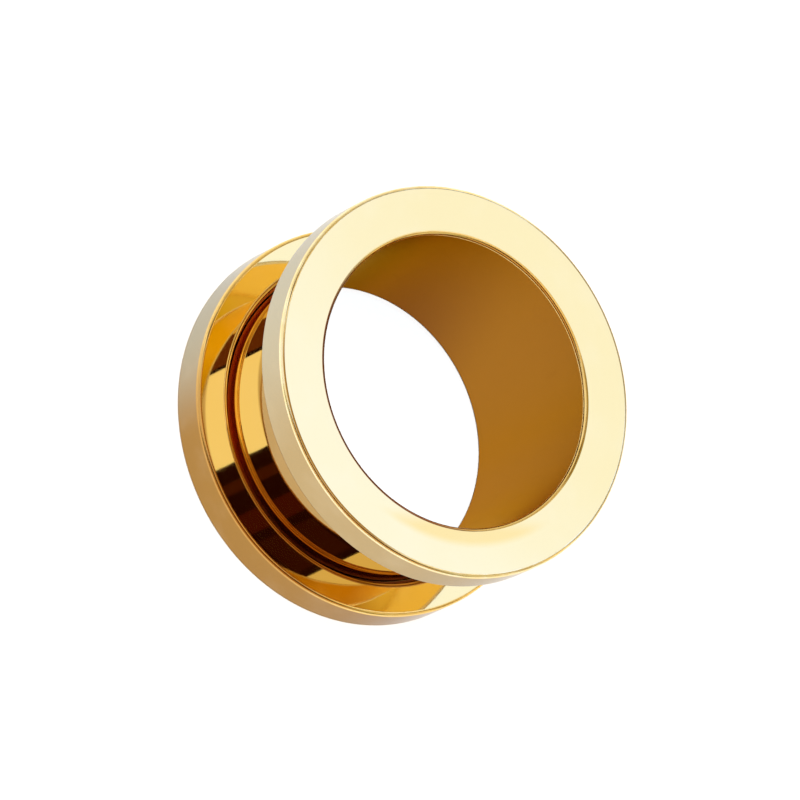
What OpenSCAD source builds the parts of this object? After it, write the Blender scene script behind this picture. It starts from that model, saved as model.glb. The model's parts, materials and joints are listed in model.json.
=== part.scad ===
// Screw-fit ear tunnel: an open tube with a wide flat flange at each end, worn in a stretched lobe.
// The front flange, the barrel and the screw neck are one turned piece. The back flange is a separate
// ring that screws onto the neck once the barrel is through the lobe.
// The tunnel lies on its back flange. Its axis is Z, and the back flange's outer face is at z = 0.

/* [Barrel] */
// Diameter of the barrel that the lobe sits on, which is the jewel's nominal gauge
barrel_d = 16; // [10:0.5:30]
// Thickness of the barrel's wall, which leaves the opening through the jewel
wall_t = 0.6; // [0.6:0.05:1.2]
// Width of the seat between the two flanges
lobe_w = 6.1; // [5:0.05:12]

/* [Flanges] */
// How far each flange stands out past the barrel
lip_w = 1.9; // [1:0.1:3]
// Thickness of the front flange
front_t = 2; // [1.2:0.05:3]
// Thickness of the back flange
back_t = 2; // [1.4:0.05:3]
// Radius that breaks the outer edges of the flanges
rim_round = 0.2; // [0.05:0.05:0.3]
// Radius that breaks the edges of the front opening and of the back flange's seat
mouth_round = 0.2; // [0.05:0.05:0.25]

/* [Screw neck] */
// How deep the barrel's end sinks into the back flange
seat_depth = 0.5; // [0.3:0.1:0.8]
// Radial gap around the barrel's end, seen as a dark line around the barrel
seat_clear = 0.2; // [0.1:0.05:0.3]
// Step from the barrel down to the screw neck
neck_step = 0.25; // [0.15:0.05:0.3]
// Radial running clearance between the neck and the back flange's hole
neck_clear = 0.1; // [0.05:0.01:0.1]
// Radius that breaks the neck's end
neck_round = 0.1; // [0.05:0.05:0.1]
// Gap under the barrel's shoulder
shoulder_gap = 0.05; // [0.02:0.01:0.1]
// How far the neck's end stays inside the back flange's outer face
neck_inset = 0.1; // [0.05:0.05:0.2]

/* [Hidden] */
$fn = 128;

gold = [0.93, 0.76, 0.38];
barrel_r = barrel_d / 2;
bore_r = barrel_r - wall_t;
flange_r = barrel_r + lip_w;
seat_r = barrel_r + seat_clear;
neck_r = barrel_r - neck_step;
screw_hole_r = neck_r + neck_clear;
seat_z = back_t - seat_depth;
shoulder_z = seat_z + shoulder_gap;
front_z = back_t + lobe_w;
total_h = front_z + front_t;

// Half section of a ring between two radii and two heights, with rounded corners: one radius for the
// corners at the ring's opening, and one for the corners at its rim
module ring_section(inner_r, outer_r, low_z, high_z, opening_round, rim) {
    width = outer_r - inner_r;
    height = high_z - low_z;
    translate([inner_r + opening_round, low_z])
        square([width - opening_round - rim, height]);
    translate([inner_r, low_z + opening_round])
        square([width / 2, height - 2 * opening_round]);
    translate([inner_r + width / 2, low_z + rim])
        square([width / 2, height - 2 * rim]);
    for (z = [low_z + opening_round, high_z - opening_round])
        translate([inner_r + opening_round, z])
            circle(opening_round);
    for (z = [low_z + rim, high_z - rim])
        translate([outer_r - rim, z])
            circle(rim);
}

// The back flange: a flat ring with a counterbore that takes the barrel's end and a hole that takes
// the screw neck
module screw_back() {
    color(gold) rotate_extrude() {
        ring_section(seat_r, flange_r, 0, back_t, mouth_round, rim_round);
        ring_section(screw_hole_r, flange_r - lip_w / 2, 0, seat_z, neck_round, neck_round);
    }
}

// The front piece: front flange, barrel and screw neck around one straight bore
module front_tube() {
    color(gold) rotate_extrude() {
        ring_section(bore_r, flange_r, front_z, total_h, mouth_round, rim_round);
        translate([bore_r, shoulder_z])
            square([wall_t, total_h - mouth_round - shoulder_z]);
        ring_section(bore_r, neck_r, neck_inset, front_z, neck_round, neck_round);
    }
}

screw_back();
front_tube();
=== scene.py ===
import json
import math

import bpy
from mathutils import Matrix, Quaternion, Vector


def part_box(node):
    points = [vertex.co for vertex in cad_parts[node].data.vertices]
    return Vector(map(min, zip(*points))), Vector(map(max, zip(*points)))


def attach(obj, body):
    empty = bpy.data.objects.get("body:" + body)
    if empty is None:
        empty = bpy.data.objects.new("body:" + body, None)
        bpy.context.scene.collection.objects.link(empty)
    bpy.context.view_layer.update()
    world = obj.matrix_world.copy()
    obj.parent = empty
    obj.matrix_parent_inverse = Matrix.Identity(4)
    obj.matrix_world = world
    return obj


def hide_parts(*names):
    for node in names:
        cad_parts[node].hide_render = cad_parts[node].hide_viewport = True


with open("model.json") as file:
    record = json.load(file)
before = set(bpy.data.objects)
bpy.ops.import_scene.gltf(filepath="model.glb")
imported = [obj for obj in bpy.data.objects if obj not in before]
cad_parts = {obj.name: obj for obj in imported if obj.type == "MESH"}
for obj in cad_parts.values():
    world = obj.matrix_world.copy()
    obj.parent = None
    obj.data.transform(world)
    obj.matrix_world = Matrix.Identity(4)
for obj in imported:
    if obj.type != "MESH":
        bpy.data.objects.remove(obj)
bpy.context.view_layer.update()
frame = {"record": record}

# Front piece
# The front flange, the barrel and the neck for the screw thread are turned from one bar of surgical
# steel, bored through, polished to a mirror outside and coated with gold. The bore keeps a satin finish.

MM = 0.001
TURNED_SIDES = 288
EDGE_STEPS = 5
MERGE_DISTANCE = 0.001 * MM
SAME_PLACE = 0.002 * MM
WIDE_FACE = 0.1 * MM

mounts = {mount["name"]: mount for mount in frame["record"]["mounts"]}
bore_r = mounts["bore"]["dims"]["r_mm"] * MM
barrel_r = mounts["lobe_seat"]["dims"]["r_mm"] * MM
lobe_w = mounts["lobe_seat"]["dims"]["length_mm"] * MM
tube_low, tube_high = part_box("front_tube")
back_low, back_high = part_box("screw_back")
flange_r = tube_high.x
top_z = tube_high.z
front_z = back_high.z + lobe_w
SEAT_DEPTH = 0.5 * MM
SHOULDER_GAP = 0.05 * MM
NECK_STEP = 0.4 * MM
NECK_DROP = 0.07 * MM
seat_z = back_high.z - SEAT_DEPTH
shoulder_z = seat_z + SHOULDER_GAP
neck_root_r = barrel_r - NECK_STEP
neck_end_z = tube_low.z - NECK_DROP
RIM_ROUND = 0.2 * MM
MOUTH_ROUND = 0.2 * MM
CORNER_ROUND = 0.06 * MM
NECK_EDGE_ROUND = 0.03 * MM


def turn(name, outline):
    """Turns a ring-shaped piece: a circle is extruded from corner to corner of a closed outline of
    (radius, height) pairs, and its last ring is joined to its first."""
    bpy.ops.object.select_all(action="DESELECT")
    radius, height = outline[0]
    bpy.ops.mesh.primitive_circle_add(vertices=TURNED_SIDES, radius=radius, location=(0, 0, height))
    piece = bpy.context.object
    piece.name = name
    bpy.ops.object.transform_apply(location=True, rotation=True, scale=True)
    bpy.ops.object.mode_set(mode="EDIT")
    bpy.ops.mesh.select_all(action="SELECT")
    for next_radius, next_height in outline[1:] + outline[:1]:
        bpy.ops.mesh.extrude_region_move(
            TRANSFORM_OT_translate={"value": (0, 0, next_height - height)}
        )
        spread = next_radius / radius
        bpy.ops.transform.resize(value=(spread, spread, 1), center_override=(0, 0, 0))
        radius, height = next_radius, next_height
    bpy.ops.mesh.select_all(action="SELECT")
    bpy.ops.mesh.remove_doubles(threshold=MERGE_DISTANCE)
    bpy.ops.mesh.normals_make_consistent(inside=False)
    bpy.ops.object.mode_set(mode="OBJECT")
    return piece


def round_edge(piece, radius, height, size):
    """Rounds the ring-shaped edge of a turned piece that has this radius and height."""
    mesh = piece.data
    bpy.ops.object.mode_set(mode="EDIT")
    bpy.ops.mesh.select_all(action="DESELECT")
    bpy.ops.mesh.select_mode(type="EDGE")
    bpy.ops.object.mode_set(mode="OBJECT")
    for edge in mesh.edges:
        ends = [mesh.vertices[index].co for index in edge.vertices]
        edge.select = all(
            abs(end.xy.length - radius) < SAME_PLACE and abs(end.z - height) < SAME_PLACE for end in ends
        )
    bpy.ops.object.mode_set(mode="EDIT")
    bpy.ops.mesh.bevel(offset=size, segments=EDGE_STEPS, profile=0.5, affect="EDGES")
    bpy.ops.object.mode_set(mode="OBJECT")


def even_shading(piece):
    """Shades a turned piece smoothly, so that its wide faces mirror without distortion: they keep their
    own normals up to their borders, and the rounded edges run smoothly from one to the next."""
    bpy.ops.object.select_all(action="DESELECT")
    piece.select_set(True)
    bpy.context.view_layer.objects.active = piece
    bpy.ops.object.shade_smooth()
    mesh = piece.data
    slopes = {}
    for face in mesh.polygons:
        radii = [mesh.vertices[index].co.xy.length for index in face.vertices]
        heights = [mesh.vertices[index].co.z for index in face.vertices]
        if max(max(radii) - min(radii), max(heights) - min(heights)) > WIDE_FACE:
            outward = face.normal.xy.dot(face.center.xy.normalized())
            slope = Vector((outward, face.normal.z)).normalized()
            for index in face.vertices:
                slopes.setdefault(index, []).append(slope)
    normals = []
    for face in mesh.polygons:
        outward = face.normal.xy.dot(face.center.xy.normalized())
        for index in face.vertices:
            normal = mesh.vertices[index].normal
            if index in slopes:
                slope = max(slopes[index], key=lambda wide: wide.dot((outward, face.normal.z)))
                around = mesh.vertices[index].co.xy.normalized() * slope.x
                normal = Vector((around.x, around.y, slope.y))
            normals.append(normal)
    mesh.normals_split_custom_set(normals)


def surface_at(piece, inner, outer, low, high):
    """Faces of a turned piece that lie between two radii and two heights."""

    def inside(place):
        across = inner - SAME_PLACE < place.xy.length < outer + SAME_PLACE
        return across and low - SAME_PLACE < place.z < high + SAME_PLACE

    places = [vertex.co for vertex in piece.data.vertices]
    return [
        face for face in piece.data.polygons if all(inside(places[index]) for index in face.vertices)
    ]


def finish_surface(piece, finish, faces):
    """Gives some faces of a piece a finish of their own."""
    if finish.material.name not in piece.data.materials:
        piece.data.materials.append(finish.material)
    place = list(piece.data.materials).index(finish.material)
    for face in faces:
        face.material_index = place


tube = turn(
    "front_tube_turned",
    [
        (bore_r, neck_end_z),
        (neck_root_r, neck_end_z),
        (neck_root_r, shoulder_z),
        (barrel_r, shoulder_z),
        (barrel_r, front_z),
        (flange_r, front_z),
        (flange_r, top_z),
        (bore_r, top_z),
    ],
)
round_edge(tube, flange_r, top_z, RIM_ROUND)
round_edge(tube, flange_r, front_z, RIM_ROUND)
round_edge(tube, bore_r, top_z, MOUTH_ROUND)
round_edge(tube, bore_r, neck_end_z, NECK_EDGE_ROUND)
round_edge(tube, barrel_r, front_z, CORNER_ROUND)
even_shading(tube)


class Value:
    """A socket in a finish's nodes. Arithmetic on it adds Math nodes."""

    def __init__(self, tree, socket):
        self.tree = tree
        self.socket = socket

    def math(self, operation, *values):
        """Adds a Math node on these values."""
        node = self.tree.nodes.new("ShaderNodeMath")
        node.operation = operation
        for socket, value in zip(node.inputs, values):
            if isinstance(value, Value):
                self.tree.links.new(value.socket, socket)
            else:
                socket.default_value = value
        return Value(self.tree, node.outputs[0])

    def __add__(self, other):
        return self.math("ADD", self, other)

    def __radd__(self, other):
        return self.math("ADD", other, self)

    def __sub__(self, other):
        return self.math("SUBTRACT", self, other)

    def __rsub__(self, other):
        return self.math("SUBTRACT", other, self)

    def __mul__(self, other):
        return self.math("MULTIPLY", self, other)

    def __rmul__(self, other):
        return self.math("MULTIPLY", other, self)

    def __neg__(self):
        return self.math("MULTIPLY", self, -1.0)

    def __pow__(self, other):
        return self.math("POWER", self, other)


HAIRLINE_STRETCH = (0.35, 11.0, 0.35)
HAIRLINE_EDGE = 0.06
# Where a Mix node for colours has its share, its two colours and its result
MIX_SHARE, MIX_FIRST, MIX_SECOND, MIX_RESULT = 0, 6, 7, 2


class Finish:
    """A material, built from the surface's own place on the piece, in millimetres."""

    def __init__(self, name):
        self.material = bpy.data.materials.new(name)
        self.material.use_nodes = True
        self.tree = self.material.node_tree
        self.shader = self.tree.nodes["Principled BSDF"]
        metres = self.node("ShaderNodeTexCoord", {}, {}, "Object")
        scaled = {"Vector": metres, "Scale": 1 / MM}
        self.place = self.node("ShaderNodeVectorMath", {"operation": "SCALE"}, scaled, "Vector")
        self.x, self.y, self.z = (
            self.node("ShaderNodeSeparateXYZ", {}, {"Vector": self.place}, axis) for axis in "XYZ"
        )
        self.radius = (self.x * self.x + self.y * self.y) ** 0.5

    def node(self, kind, settings, inputs, output=0):
        """Adds a node. Its settings are set first, and then the values or links of its inputs."""
        node = self.tree.nodes.new(kind)
        for name, value in settings.items():
            setattr(node, name, value)
        for name, value in inputs.items():
            if isinstance(value, Value):
                self.tree.links.new(value.socket, node.inputs[name])
            else:
                node.inputs[name].default_value = value
        return Value(self.tree, node.outputs[output])

    def toward(self, way):
        """How far a place lies from the axis in one direction."""
        return self.x * way[0] + self.y * way[1]

    def noise(self, scale, detail):
        """Soft patches: how many there are in a millimetre, and how much finer detail they have."""
        inputs = {"Vector": self.place, "Scale": scale, "Detail": detail}
        return self.node("ShaderNodeTexNoise", {}, inputs, "Fac")

    def turning_lines(self, scale):
        """Fine lines round the axis, as a lathe or a buffing wheel leaves them."""
        inputs = {"W": self.radius + self.z, "Scale": scale, "Detail": 5.0}
        return self.node("ShaderNodeTexNoise", {"noise_dimensions": "1D"}, inputs, "Fac")

    def hairlines(self, turned, share):
        """Sparse straight scratches in one direction."""
        turning = {"Vector": self.place, "Rotation": turned}
        across = self.node("ShaderNodeVectorRotate", {"rotation_type": "EULER_XYZ"}, turning)
        stretching = {0: across, 1: HAIRLINE_STRETCH}
        stretched = self.node("ShaderNodeVectorMath", {"operation": "MULTIPLY"}, stretching)
        inputs = {"Vector": stretched, "Scale": 1.0, "Detail": 1.0}
        streaks = self.node("ShaderNodeTexNoise", {}, inputs, "Fac")
        return self.rise(streaks, 1.0 - share, 1.0 - share + HAIRLINE_EDGE)

    def rise(self, value, low, high):
        """0 up to the low limit, 1 from the high limit on, and smooth between them."""
        limits = {"Value": value, "From Min": low, "From Max": high}
        return self.node("ShaderNodeMapRange", {"interpolation_type": "SMOOTHSTEP"}, limits)

    def mix(self, share, first, second):
        """The first colour, which changes to the second as the share goes from 0 to 1."""
        inputs = {MIX_SHARE: share, MIX_FIRST: first, MIX_SECOND: second}
        return self.node("ShaderNodeMix", {"data_type": "RGBA"}, inputs, MIX_RESULT)

    def feed(self, socket, value):
        """Sets a socket of the shader, or links it."""
        if isinstance(value, Value):
            self.tree.links.new(value.socket, self.shader.inputs[socket])
        else:
            self.shader.inputs[socket].default_value = value

    def relief(self, micrometres):
        """Gives the surface this relief as a bump."""
        inputs = {"Height": micrometres, "Distance": 0.001 * MM, "Strength": 1.0}
        self.feed("Normal", self.node("ShaderNodeBump", {}, inputs))


EDGE_TINT = (1.0, 0.86, 0.62, 1.0)
RIM_TINT = (0.78, 0.78, 0.78, 1.0)
BORE_TINT = (1.0, 0.66, 0.20, 1.0)
PALE_PATCH_GOLD = (1.0, 0.9, 0.7, 1.0)
PALE_PATCHES = (0.45, 0.75)
CLOUD_SCALE = 0.45
GRAIN_SCALE = 6.0
GRAIN_SHARE = 0.4
RIDGE_SCALE = 9.0
RIDGE_SHARE = 0.6
WAVE_SCALE = 0.55
LEVEL_SCRATCHES = ((0.0, 0.0, 0.5), 0.31)
CROSS_SCRATCHES = ((0.7, 0.4, 2.1), 0.30)
SCRATCH_DEPTH = 1.5


def gold(name, tone, roughness, haze, waves, lines, pale=0.06, grazing=EDGE_TINT):
    """A gold coating of this tone, unevenly buffed: cloudy haze, lines from turning, and hairline
    scratches. The heights of its waves and lines are in micrometres. The three patterns of the haze
    average 1 together, and 1 is taken off, so that the mean roughness stays."""
    finish = Finish(name)
    cloud = finish.noise(CLOUD_SCALE, 4.0)
    grain = finish.noise(GRAIN_SCALE, 3.0)
    ridges = finish.turning_lines(RIDGE_SCALE)
    scratches = finish.hairlines(*LEVEL_SCRATCHES) + finish.hairlines(*CROSS_SCRATCHES)
    plain = tone(finish)
    paler = finish.mix(pale, plain, PALE_PATCH_GOLD)
    patterns = cloud + grain * GRAIN_SHARE + ridges * RIDGE_SHARE - 1.0
    heights = finish.noise(WAVE_SCALE, 1.0) * waves + ridges * lines
    finish.feed("Base Color", finish.mix(finish.rise(cloud, *PALE_PATCHES), plain, paler))
    finish.feed("Metallic", 1.0)
    finish.feed("Specular Tint", grazing)
    finish.feed("Roughness", roughness + haze * patterns + scratches * haze)
    finish.relief(heights - scratches * (lines * SCRATCH_DEPTH))
    return finish


# Directions across the tunnel. Below come each surface's golds, with the places in millimetres between
# which its tone changes.
FRONT_WAY = (0.35, -1.0)
FRONT_RIGHT_WAY = (0.9, -0.45)
BACK_RIGHT_WAY = (0.64, 0.77)
LEFT_WAY = (-0.94, -0.34)

# Painted reflection: the face's paler front and its warmer patch by the opening stand in for mirrored
# light.
DEEP_FACE_GOLD = (0.945, 0.738, 0.345, 1.0)
PALE_FACE_PAINTED_LIGHT_GOLD = (0.955, 0.79, 0.44, 1.0)
WARM_PAINTED_REFLECTION_GOLD = (0.95, 0.69, 0.27, 1.0)
FACE_CHANGE = (-7.0, 9.0)
FACE_DRIFT = 12.0
DRIFT_SCALE = 0.18
WARM_PATCH_SIDE = (6.6, 7.6)
WARM_PATCH_R = 8.5
WARM_PATCH_SOFT = 0.5


def face_tone(finish):
    """The polished face is painted slightly paler towards the front, and warmer in a patch by the opening:
    painted reflection of the light that it mirrors.
    """
    drift = (finish.noise(DRIFT_SCALE, 2.0) - 0.5) * FACE_DRIFT
    paler = finish.rise(finish.toward(FRONT_WAY) + drift, *FACE_CHANGE)
    wide = finish.mix(paler, DEEP_FACE_GOLD, PALE_FACE_PAINTED_LIGHT_GOLD)
    patch = finish.rise(WARM_PATCH_R - finish.radius, 0.0, WARM_PATCH_SOFT)
    warm = finish.rise(finish.toward(FRONT_RIGHT_WAY), *WARM_PATCH_SIDE) * patch
    return finish.mix(warm, wide, WARM_PAINTED_REFLECTION_GOLD)


GOLD = (0.95, 0.76, 0.37, 1.0)
# Painted shadow: the darker band on the barrel's front and its darker back stand in for the shaded ground
# that it mirrors.
PAINTED_SHADOW_GOLD = (0.47, 0.305, 0.118, 1.0)
SIDE_PAINTED_SHADE_GOLD = (0.62, 0.45, 0.20, 1.0)
SHADE_BOTTOM = (4.45, 4.75)
SHADE_TOP = 6.7
SHADE_TOP_SOFT = 1.2
SHADE_FRONT = 4.2
SHADE_FRONT_SOFT = 3.3
BARREL_CHANGE = (-3.6, -0.5)


def barrel_tone(finish):
    """The barrel is painted darker in a soft band on its front, a painted reflection of the shaded ground
    before the tunnel, and painted darker at its back as painted shade."""
    height = finish.rise(finish.z, *SHADE_BOTTOM) * finish.rise(SHADE_TOP - finish.z, 0.0, SHADE_TOP_SOFT)
    band = height * finish.rise(-SHADE_FRONT - finish.y, 0.0, SHADE_FRONT_SOFT)
    front = finish.mix(band, GOLD, PAINTED_SHADOW_GOLD)
    return finish.mix(finish.rise(finish.y, *BARREL_CHANGE), front, SIDE_PAINTED_SHADE_GOLD)


# Painted shade: the rim golds are darkened to stand in for the shaded ground that the rim mirrors.
RIM_PAINTED_SHADE_GOLD = (0.56, 0.515, 0.38, 1.0)
DEEP_RIM_PAINTED_SHADE_GOLD = (0.506, 0.375, 0.186, 1.0)
RIM_CHANGE = (3.0, 10.0)
RIM_POLISH = {"roughness": 0.16, "haze": 0.03, "waves": 1.5, "lines": 0.12, "grazing": RIM_TINT}


def rim_tone(finish):
    """The rim is painted darker, a painted reflection of the shaded ground beside the tunnel, and turns
    paler towards the left, where that ground is lighter.
    """
    return finish.mix(finish.rise(finish.toward(LEFT_WAY), *RIM_CHANGE), DEEP_RIM_PAINTED_SHADE_GOLD, RIM_PAINTED_SHADE_GOLD)


# Painted shade: the lobe-side golds stand in for the shaded ground that this side mirrors.
LOBE_SIDE_PAINTED_SHADE_GOLD = (0.72, 0.47, 0.085, 1.0)
LEFT_LOBE_SIDE_PAINTED_SHADE_GOLD = (0.64, 0.42, 0.006, 1.0)
RIGHT_LOBE_SIDE_PAINTED_SHADE_GOLD = (0.445, 0.225, 0.006, 1.0)
LOBE_SIDE_RIGHT = (-1.0, 1.0)
LOBE_SIDE_BACK = (-2.2, 0.6)


def lobe_side_tone(finish):
    """The flange's side towards the lobe is painted deep amber, deeper in front and deepest there at the
    right: painted reflection of the shaded ground.
    """
    deep = finish.mix(finish.rise(finish.x, *LOBE_SIDE_RIGHT), LEFT_LOBE_SIDE_PAINTED_SHADE_GOLD, RIGHT_LOBE_SIDE_PAINTED_SHADE_GOLD)
    return finish.mix(finish.rise(finish.y, *LOBE_SIDE_BACK), deep, LOBE_SIDE_PAINTED_SHADE_GOLD)


# Painted shade: the bore golds are darkened to stand in for the shade and the repeated reflections inside
# the bore.
BORE_PAINTED_SHADE_GOLD = (0.39, 0.162, 0.029, 1.0)
DEEP_BORE_PAINTED_SHADE_GOLD = (0.214, 0.073, 0.031, 1.0)
DARKEST_BORE_PAINTED_SHADE_GOLD = (0.107, 0.029, 0.019, 1.0)
RIGHT_BORE_PAINTED_SHADE_GOLD = (0.353, 0.16, 0.077, 1.0)
BORE_RIGHT = (3.5, 7.4)
BORE_CHANGE = (-5.2, 1.0)
BORE_LEAN = 0.3
BORE_DARKEST = (5.6, 6.9)
DARKEST_LEAN = 0.1


def bore_tone(finish):
    """The bore is painted deep brown, darker towards its left side and towards its back end: painted shade
    inside the bore.
    """
    wide = finish.mix(finish.rise(finish.x, *BORE_RIGHT), BORE_PAINTED_SHADE_GOLD, RIGHT_BORE_PAINTED_SHADE_GOLD)
    darkest = finish.rise(-finish.x - finish.z * DARKEST_LEAN, *BORE_DARKEST)
    deep = finish.mix(darkest, DEEP_BORE_PAINTED_SHADE_GOLD, DARKEST_BORE_PAINTED_SHADE_GOLD)
    return finish.mix(finish.rise(finish.x + finish.z * BORE_LEAN, *BORE_CHANGE), deep, wide)


OUTER_EDGE_GOLD = (0.95, 0.78, 0.41, 1.0)
PALE_OUTER_EDGE_GOLD = (0.97, 0.85, 0.54, 1.0)
# Painted shade: the thin dark line and the duller far side of the outer edge stand in for mirrored dark
# surroundings.
EDGE_LINE_PAINTED_SHADE_GOLD = (0.42, 0.23, 0.05, 1.0)
FAR_EDGE_PAINTED_SHADE_GOLD = (0.66, 0.50, 0.24, 1.0)
WEAR_SCALE = 1.1
WEAR_PATCHES = (0.4, 0.6)
FAR_EDGE = (7.5, 9.3)
EDGE_LINE_IN = 0.08
EDGE_LINE_NEAR = (6.8, 9.0)
LINE_SOFT = 0.06
flange_mm = flange_r / MM


def outer_edge_tone(finish):
    """Buffed bright, and painted duller at the far side, with a thin painted dark line along the face's
    border on the
    near side: painted shade that stands in for the dark surroundings the edge mirrors."""
    patches = finish.rise(finish.noise(WEAR_SCALE, 5.0), *WEAR_PATCHES)
    buffed = finish.mix(patches, OUTER_EDGE_GOLD, PALE_OUTER_EDGE_GOLD)
    edge = finish.mix(finish.rise(finish.y, *FAR_EDGE), buffed, FAR_EDGE_PAINTED_SHADE_GOLD)
    beside_face = finish.rise(flange_mm - EDGE_LINE_IN - finish.radius, 0.0, LINE_SOFT)
    return finish.mix(beside_face * finish.rise(-finish.y, *EDGE_LINE_NEAR), edge, EDGE_LINE_PAINTED_SHADE_GOLD)


WORN_GOLD = (0.92, 0.64, 0.22, 1.0)
BUFFED_EDGE_GOLD = (0.95, 0.70, 0.28, 1.0)


def worn_tone(finish):
    """Gold that is rubbed thinner in patches."""
    patches = finish.rise(finish.noise(WEAR_SCALE, 5.0), *WEAR_PATCHES)
    return finish.mix(patches, WORN_GOLD, BUFFED_EDGE_GOLD)


# Painted shade: the mouth's dark near side and its dark line stand in for mirrored dark surroundings.
DARK_MOUTH_PAINTED_SHADE_GOLD = (0.30, 0.10, 0.03, 1.0)
MOUTH_LINE_PAINTED_SHADE_GOLD = (0.42, 0.26, 0.05, 1.0)
DARK_MOUTH = (1.0, 5.5)
MOUTH_LINE_OUT = 0.07
MOUTH_LINE_FAR = (6.5, 7.2)
bore_mm = bore_r / MM


def mouth_tone(finish):
    """The opening's edge is painted dark on the near side, with a painted dark line beside the face at the
    far right: painted shade that the edge mirrors.
    """
    near = finish.mix(finish.rise(-finish.y, *DARK_MOUTH), worn_tone(finish), DARK_MOUTH_PAINTED_SHADE_GOLD)
    beside_face = finish.rise(finish.radius - bore_mm, MOUTH_LINE_OUT, MOUTH_LINE_OUT + LINE_SOFT)
    line = finish.rise(finish.toward(BACK_RIGHT_WAY), *MOUTH_LINE_FAR) * beside_face
    return finish.mix(line, near, MOUTH_LINE_PAINTED_SHADE_GOLD)


THREAD_GOLD = (0.52, 0.32, 0.11, 1.0)
DARK_THREAD_GOLD = (0.34, 0.18, 0.055, 1.0)
CUT_SCALE = 1.5


def thread_tone(finish):
    """Unpolished gold, cloudy from the cut."""
    return finish.mix(finish.noise(CUT_SCALE, 4.0), THREAD_GOLD, DARK_THREAD_GOLD)


face_gold = gold("mirror_gold_face", face_tone, roughness=0.05, haze=0.02, waves=2.5, lines=0.03)
barrel = gold("mirror_gold_barrel", barrel_tone, roughness=0.04, haze=0.02, waves=3.0, lines=0.03)
rim = gold("rim_gold", rim_tone, **RIM_POLISH)
lobe_side = gold("lobe_side_gold", lobe_side_tone, roughness=0.1, haze=0.03, waves=3.0, lines=0.05)
satin = gold(
    "satin_bore_painted_shade_gold",
    bore_tone,
    roughness=0.38,
    haze=0.03,
    waves=0.6,
    lines=0.5,
    pale=0.0,
    grazing=BORE_TINT,
)
cut = gold("cut_thread_gold", thread_tone, roughness=0.4, haze=0.08, waves=3.0, lines=0.9)
outer_edge = gold("outer_edge_gold", outer_edge_tone, roughness=0.2, haze=0.08, waves=1.0, lines=0.2)
mouth_edge = gold("mouth_edge_gold", mouth_tone, roughness=0.2, haze=0.08, waves=1.0, lines=0.2)

tube.data.materials.append(barrel.material)
finish_surface(tube, face_gold, surface_at(tube, bore_r, flange_r, top_z, top_z))
finish_surface(tube, rim, surface_at(tube, flange_r - RIM_ROUND, flange_r, front_z, top_z))
finish_surface(tube, lobe_side, surface_at(tube, barrel_r, flange_r, front_z, front_z))
finish_surface(tube, satin, surface_at(tube, bore_r, bore_r, neck_end_z, top_z))
finish_surface(tube, cut, surface_at(tube, neck_root_r, barrel_r, neck_end_z, shoulder_z))
outer = surface_at(tube, flange_r - RIM_ROUND, flange_r, top_z - RIM_ROUND, top_z)
finish_surface(tube, outer_edge, outer)
mouth = surface_at(tube, bore_r, bore_r + MOUTH_ROUND, top_z - MOUTH_ROUND, top_z)
finish_surface(tube, mouth_edge, mouth)

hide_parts("front_tube")
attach(tube, "front")

# Thread on the neck
# A fine right-hand thread cut round the neck, between the barrel's shoulder and the neck's end. It
# takes the back flange. The cut flanks keep a dull, unpolished coating.

THREAD_PITCH = 0.35 * MM
THREAD_TURNS = 3
THREAD_DEPTH = 0.19 * MM
THREAD_ROOT = 0.04 * MM
THREAD_HALF = 0.15 * MM
THREAD_STEPS = 144
THREAD_CLEAR = 0.06 * MM


def thread(name, root_r, crest_r, low_z):
    """A thread's ridge: a three-sided section that climbs round the axis in whole turns."""
    bpy.ops.object.select_all(action="DESELECT")
    bpy.ops.mesh.primitive_circle_add(vertices=3, radius=THREAD_HALF, location=(0, 0, 0))
    ridge = bpy.context.object
    ridge.name = name
    middle_z = low_z + THREAD_HALF
    corners = ((root_r, middle_z - THREAD_HALF), (crest_r, middle_z), (root_r, middle_z + THREAD_HALF))
    for vertex, (radius, height) in zip(ridge.data.vertices, corners):
        vertex.co = (radius, 0, height)
    screw = ridge.modifiers.new("climb", "SCREW")
    screw.axis = "Z"
    screw.angle = math.radians(360)
    screw.iterations = THREAD_TURNS
    screw.screw_offset = THREAD_PITCH
    screw.steps = THREAD_STEPS
    screw.render_steps = THREAD_STEPS
    bpy.ops.object.modifier_apply(modifier=screw.name)
    bpy.ops.object.mode_set(mode="EDIT")
    bpy.ops.mesh.select_all(action="SELECT")
    bpy.ops.mesh.fill_holes(sides=4)
    bpy.ops.mesh.select_all(action="SELECT")
    bpy.ops.mesh.normals_make_consistent(inside=False)
    bpy.ops.object.mode_set(mode="OBJECT")
    return ridge


thread_h = THREAD_TURNS * THREAD_PITCH + 2 * THREAD_HALF
neck_thread = thread(
    "neck_thread",
    neck_root_r - THREAD_ROOT,
    neck_root_r + THREAD_DEPTH,
    shoulder_z - THREAD_CLEAR - thread_h,
)
neck_thread.data.materials.append(cut.material)
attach(neck_thread, "front")

# Back flange
# A flat ring, turned from the same steel, mirror polished and coated with gold. It screws onto the
# neck. A counterbore takes the barrel's end and leaves the narrow dark gap round it.

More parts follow.
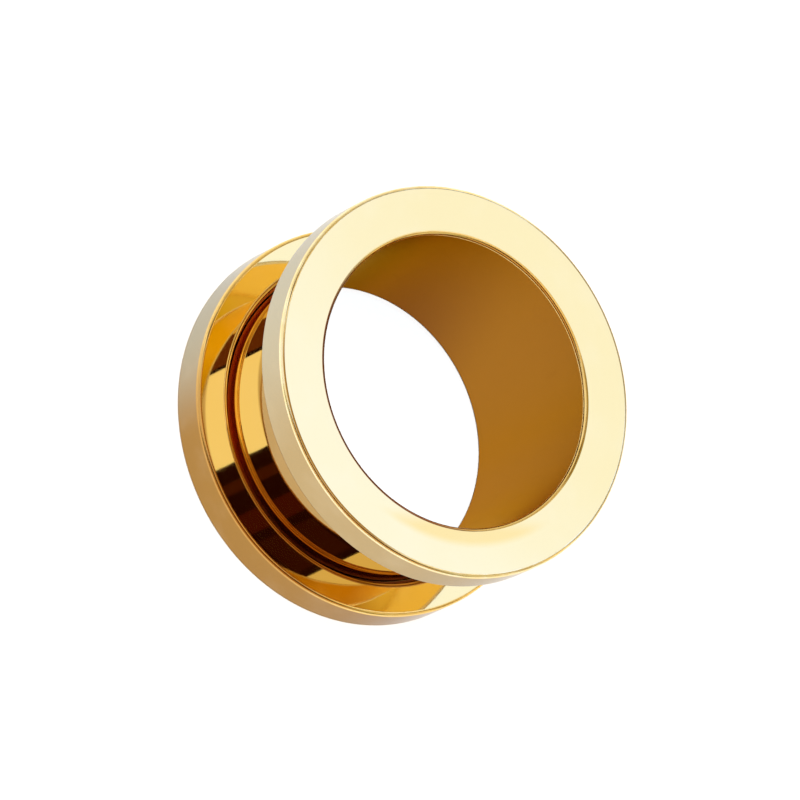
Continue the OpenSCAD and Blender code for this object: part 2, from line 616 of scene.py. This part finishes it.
HOLE_STEP = 0.05 * MM
SEAT_CLEAR = 0.2 * MM
BASE_ROUND = 0.05 * MM
HOLE_ROUND = 0.1 * MM
LAND_W = 0.07 * MM
LAND_H = 0.021 * MM
ring_hole_r = barrel_r + HOLE_STEP
seat_r = barrel_r + SEAT_CLEAR
land_r = seat_r + MOUTH_ROUND + LAND_W
land_z = back_high.z + LAND_H
ring = turn(
    "screw_back_turned",
    [
        (ring_hole_r, back_low.z),
        (flange_r, back_low.z),
        (flange_r, back_high.z),
        (land_r, back_high.z),
        (seat_r + MOUTH_ROUND, land_z),
        (seat_r, land_z),
        (seat_r, seat_z),
        (ring_hole_r, seat_z),
    ],
)
round_edge(ring, flange_r, back_low.z, BASE_ROUND)
round_edge(ring, flange_r, back_high.z, RIM_ROUND)
round_edge(ring, seat_r, land_z, MOUTH_ROUND)
round_edge(ring, ring_hole_r, back_low.z, HOLE_ROUND)
even_shading(ring)

# Painted shade: the back rim golds stand in for the shaded ground at the tunnel's foot that the rim
# mirrors.
BACK_RIM_PAINTED_SHADE_GOLD = (0.48, 0.43, 0.31, 1.0)
DEEP_BACK_RIM_PAINTED_SHADE_GOLD = (0.41, 0.222, 0.055, 1.0)
BACK_RIM_CHANGE = (6.0, 9.6)
# Painted shade: the deeper gold on the front of the back flange's rounded edges.
DEEP_EDGE_PAINTED_SHADE_GOLD = (0.60, 0.33, 0.09, 1.0)
BACK_EDGE_CHANGE = (-9.5, -5.0)
# Painted shade: the seat golds are darkened to stand in for the shade in the narrow gap.
SEAT_PAINTED_SHADE_GOLD = (0.70, 0.19, 0.04, 1.0)
DARK_SEAT_PAINTED_SHADE_GOLD = (0.27, 0.075, 0.02, 1.0)
SEAT_CHANGE = (-2.0, 4.0)
SEAT_CLOUD = 2.0
# Painted shade: the deeper gold at the right of the seat's rounded edge.
DEEP_SEAT_EDGE_PAINTED_SHADE_GOLD = (0.62, 0.33, 0.085, 1.0)
SEAT_EDGE_CHANGE = (-4.0, 3.0)


def ring_face_tone(finish):
    """Even gold; the buffing alone varies it."""
    return GOLD


def back_rim_tone(finish):
    """Like the front rim, painted darker as a painted reflection of the shaded ground at the tunnel's foot;
    it turns pale only at its left end.
    """
    left = finish.rise(finish.toward(LEFT_WAY), *BACK_RIM_CHANGE)
    return finish.mix(left, DEEP_BACK_RIM_PAINTED_SHADE_GOLD, BACK_RIM_PAINTED_SHADE_GOLD)


def back_edge_tone(finish):
    """Painted deeper gold at the front, as painted shade at the tunnel's foot; worn gold at the sides and
    the back.
    """
    return finish.mix(finish.rise(finish.y, *BACK_EDGE_CHANGE), DEEP_EDGE_PAINTED_SHADE_GOLD, worn_tone(finish))


def seat_tone(finish):
    """The unpolished seat is painted reddish at the left and dark brown at the right, with a cloudy border:
    painted shade in the narrow gap round the barrel.
    """
    right = finish.rise(finish.x + finish.noise(CUT_SCALE, 4.0) * SEAT_CLOUD, *SEAT_CHANGE)
    return finish.mix(right, SEAT_PAINTED_SHADE_GOLD, DARK_SEAT_PAINTED_SHADE_GOLD)


def seat_edge_tone(finish):
    """Worn gold at the left, painted deeper at the right as painted shade."""
    return finish.mix(finish.rise(finish.x, *SEAT_EDGE_CHANGE), worn_tone(finish), DEEP_SEAT_EDGE_PAINTED_SHADE_GOLD)


mirror = gold("mirror_gold", ring_face_tone, roughness=0.04, haze=0.02, waves=3.0, lines=0.03)
back_rim = gold("back_rim_gold", back_rim_tone, **RIM_POLISH)
worn_and_shaded_back_edge = gold(
    "worn_and_shaded_back_edge_gold", back_edge_tone, roughness=0.16, haze=0.08, waves=1.0, lines=0.2
)
seat = gold("unpolished_seat_painted_shade_gold", seat_tone, roughness=0.5, haze=0.08, waves=3.0, lines=0.9)
brushed_and_shaded_edge = gold("brushed_and_shaded_edge_gold", seat_edge_tone, roughness=0.14, haze=0.06, waves=1.0, lines=0.2)

ring.data.materials.append(mirror.material)
finish_surface(ring, back_rim, surface_at(ring, flange_r, flange_r, back_low.z, back_high.z))
finish_surface(ring, cut, surface_at(ring, ring_hole_r, ring_hole_r, back_low.z, seat_z))
finish_surface(ring, seat, surface_at(ring, ring_hole_r, seat_r, seat_z, land_z - MOUTH_ROUND))
for edge_low, edge_high in ((back_high.z - RIM_ROUND, back_high.z), (back_low.z, back_low.z + BASE_ROUND)):
    rounded = surface_at(ring, flange_r - RIM_ROUND, flange_r, edge_low, edge_high)
    finish_surface(ring, worn_and_shaded_back_edge, rounded)
seat_edge = surface_at(ring, seat_r, land_r, land_z - MOUTH_ROUND, land_z)
finish_surface(ring, brushed_and_shaded_edge, seat_edge)
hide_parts("screw_back")
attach(ring, "back")

# Thread inside the back flange
# The hole's matching thread, cut into the ring and left dull. Its crests stop short of the neck's,
# because the ring lifts straight off in the poses.

ring_thread = thread(
    "ring_thread",
    ring_hole_r + THREAD_ROOT,
    ring_hole_r - THREAD_DEPTH,
    seat_z - THREAD_CLEAR - thread_h,
)
ring_thread.data.materials.append(cut.material)
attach(ring_thread, "back")

# Floor, lights and camera
# A sheet of white paper under a product photographer's lights, with white, gold and brown cards all round
# that the polished gold mirrors. The camera is turned, so that the tunnel's axis points right and up.

FLOOR_SIZE = 4.0
FIBRE_SCALE = 4.0
FIBRE_HEIGHT = 2.0
PAPER_ROUGHNESS = 0.85
FIBRE_ROUGHNESS = 0.1
PAPER_SHINE = 0.1
# The paper's two tones. Inside the opening it is painted lighter and bluer: painted light that cancels the
# shade and the warm light that the bore casts there.
PAPER = ((0.594, 0.60, 0.61, 1), (0.614, 0.62, 0.625, 1))
PAPER_PAINTED_LIGHT_IN_OPENING = ((0.62, 0.66, 0.69, 1), (0.64, 0.68, 0.705, 1))
OPENING_BORDER = (7.0, 7.6)

bpy.ops.object.select_all(action="DESELECT")
bpy.ops.mesh.primitive_plane_add(size=FLOOR_SIZE, location=(0, 0, 0))
floor = bpy.context.object
floor.name = "floor"
paper = Finish("white_paper")
fibres = paper.noise(FIBRE_SCALE, 6.0)
around = paper.mix(fibres, *PAPER)
painted_light_in_opening = paper.mix(fibres, *PAPER_PAINTED_LIGHT_IN_OPENING)
paper.feed("Base Color", paper.mix(paper.rise(paper.radius, *OPENING_BORDER), painted_light_in_opening, around))
paper.feed("Roughness", PAPER_ROUGHNESS + fibres * FIBRE_ROUGHNESS)
paper.feed("Specular IOR Level", PAPER_SHINE)
paper.relief(fibres * FIBRE_HEIGHT)
floor.data.materials.append(paper.material)

CAMERA_ELEVATION = 55.3


def direction(azimuth, elevation):
    """Unit vector towards a light. Azimuth 0 is the camera's side of the tunnel, 90 is +X."""
    around, up = math.radians(azimuth), math.radians(elevation)
    return Vector((math.sin(around) * math.cos(up), -math.cos(around) * math.cos(up), math.sin(up)))


def panel(name, toward, size, radiance, color, distance=1.2):
    """A rectangular light that faces the tunnel from this direction."""
    data = bpy.data.lights.new(name, "AREA")
    data.shape = "RECTANGLE"
    data.size, data.size_y = size
    data.color = color
    data.energy = radiance * math.pi * data.size * data.size_y
    light = bpy.data.objects.new(name, data)
    bpy.context.scene.collection.objects.link(light)
    light.location = toward * distance
    light.rotation_mode = "QUATERNION"
    light.rotation_quaternion = toward.to_track_quat("Z", "Y")
    light.visible_camera = False


def softbox(name, azimuths, elevations, radiance, color, distance=1.2, sides_at=CAMERA_ELEVATION):
    """A panel with its two sides at these azimuths, measured at one elevation, and its lower and upper
    edges at these elevations."""
    middle = sum(azimuths) / 2
    toward = direction(middle, sum(elevations) / 2)
    across = Vector((math.cos(math.radians(middle)), math.sin(math.radians(middle)), 0))
    side = direction(azimuths[1], sides_at)
    width = 2 * distance * side.dot(across) / side.dot(toward)
    height = 2 * distance * math.tan(math.radians(elevations[1] - elevations[0]) / 2)
    panel(name, toward, (width, height), radiance, color, distance)


WHITE = (1.0, 1.0, 1.0)
BLUE_WHITE = (0.66, 0.76, 1.0)
WARM_WHITE = (1.0, 0.95, 0.90)
CREAM = (1.0, 0.93, 0.75)
LIGHT_GOLD = (1.0, 0.90, 0.70)
YELLOW_GOLD = (0.90, 0.85, 0.40)
PALE_AMBER = (1.0, 0.85, 0.60)
BROWN = (1.0, 0.28, 0.05)

# Lights and cards at the height that the flat faces mirror in the main picture, straight or by way of
# the barrel
softbox("back_softbox", (137, 195), (40, 64), 1.57, BLUE_WHITE)
softbox("left_softbox", (-87, -17), (0, 66), 1.0, WHITE)
softbox("gold_reflector", (88, 124), (0, 68), 0.72, (1.0, 0.90, 0.65))
softbox("right_amber_reflector", (124, 142), (0, 68), 0.66, (1.0, 0.76, 0.33), 1.25)
softbox("left_amber_reflector", (-142, -119), (40, 66), 0.72, (1.0, 0.72, 0.24), 1.25)
softbox("left_brown_reflector", (-119, -91), (50, 61), 0.10, BROWN, 1.25)
softbox("left_corner_reflector", (-166, -141), (36, 66), 0.55, LIGHT_GOLD, 1.28)
softbox("brown_strip_1", (-4, 4), (46, 70), 0.03, (1.0, 0.22, 0.02))
softbox("brown_strip_2", (20, 36), (46, 70), 0.03, (1.0, 0.12, 0.02))
softbox("brown_strip_3", (44, 80), (46, 70), 0.015, (1.0, 0.22, 0.04))

# Lower and higher cards, which the rounded edges and the bore mirror there, and the wide faces in a view
# from low down
softbox("left_low_edge_card", (-119, -91), (38, 49.5), 0.6, CREAM, 1.25, sides_at=44)
softbox("left_high_edge_card", (-119, -91), (62, 74), 0.7, CREAM, 1.25, sides_at=66)
softbox("back_low_reflector", (146, 214), (0, 36), 0.45, WARM_WHITE, 1.3, sides_at=18)
softbox("left_low_reflector", (-168, -89), (0, 38), 0.80, CREAM, 1.3, sides_at=20)
softbox("left_gap_card", (-91.5, -72), (0, 36), 0.80, CREAM, 1.3, sides_at=18)
softbox("right_low_card", (112, 148), (0, 36), 0.40, PALE_AMBER, 1.3, sides_at=18)
softbox("front_low_reflector", (-20, 86), (0, 45), 0.28, BROWN, 1.35, sides_at=22)
softbox("front_left_strip", (-30, 34), (8, 32), 0.50, YELLOW_GOLD, 1.35, sides_at=20)
softbox("front_right_strip", (34, 95), (8, 32), 0.50, YELLOW_GOLD, 1.35, sides_at=20)
softbox("front_high_card", (-20, 88), (63.5, 76), 0.50, (1.0, 0.80, 0.45), 1.3, sides_at=69)
panel("overhead_reflector", Vector((0, 0, 1)), (1.0, 1.0), 0.9, PALE_AMBER)

SUN_STRENGTH = 4.35
SUN_ANGLE = 0.2
DIM_BROWN = (0.014, 0.002, 0.0008, 1)

sun = bpy.data.lights.new("overhead", "SUN")
sun.energy = SUN_STRENGTH
sun.angle = math.radians(SUN_ANGLE)
overhead = bpy.data.objects.new("overhead", sun)
overhead.visible_glossy = False
bpy.context.scene.collection.objects.link(overhead)

world = bpy.data.worlds.new("dim_studio")
world.use_nodes = True
world.node_tree.nodes["Background"].inputs["Color"].default_value = DIM_BROWN
bpy.context.scene.world = world

CAMERA_ROLL = 64.24
LENS_MM = 450.0
SENSOR_MM = 36.0
PICTURE_PX = 800
TARGET_PX = (456.4, 380.55)
FLANGE_R_PX = 202.8

camera_data = bpy.data.cameras.new("camera")
camera_data.lens = LENS_MM
camera_data.sensor_width = SENSOR_MM
camera = bpy.data.objects.new("camera", camera_data)
bpy.context.scene.collection.objects.link(camera)
bpy.context.scene.camera = camera
toward_camera = direction(0, CAMERA_ELEVATION)
aim = toward_camera.to_track_quat("Z", "Y") @ Quaternion((0, 0, 1), math.radians(CAMERA_ROLL))
metres_per_px = flange_r / FLANGE_R_PX
camera_distance = metres_per_px * LENS_MM / SENSOR_MM * PICTURE_PX
offset = aim @ Vector((TARGET_PX[0] - PICTURE_PX / 2, PICTURE_PX / 2 - TARGET_PX[1], 0))
camera.rotation_mode = "QUATERNION"
camera.rotation_quaternion = aim
camera.location = Vector((0, 0, top_z)) - offset * metres_per_px + toward_camera * camera_distance
camera_data.clip_start = 0.01
camera_data.clip_end = 10.0

scene = bpy.context.scene
scene.view_settings.view_transform = "Standard"
scene.cycles.glossy_bounces = 12
scene.cycles.max_bounces = 16
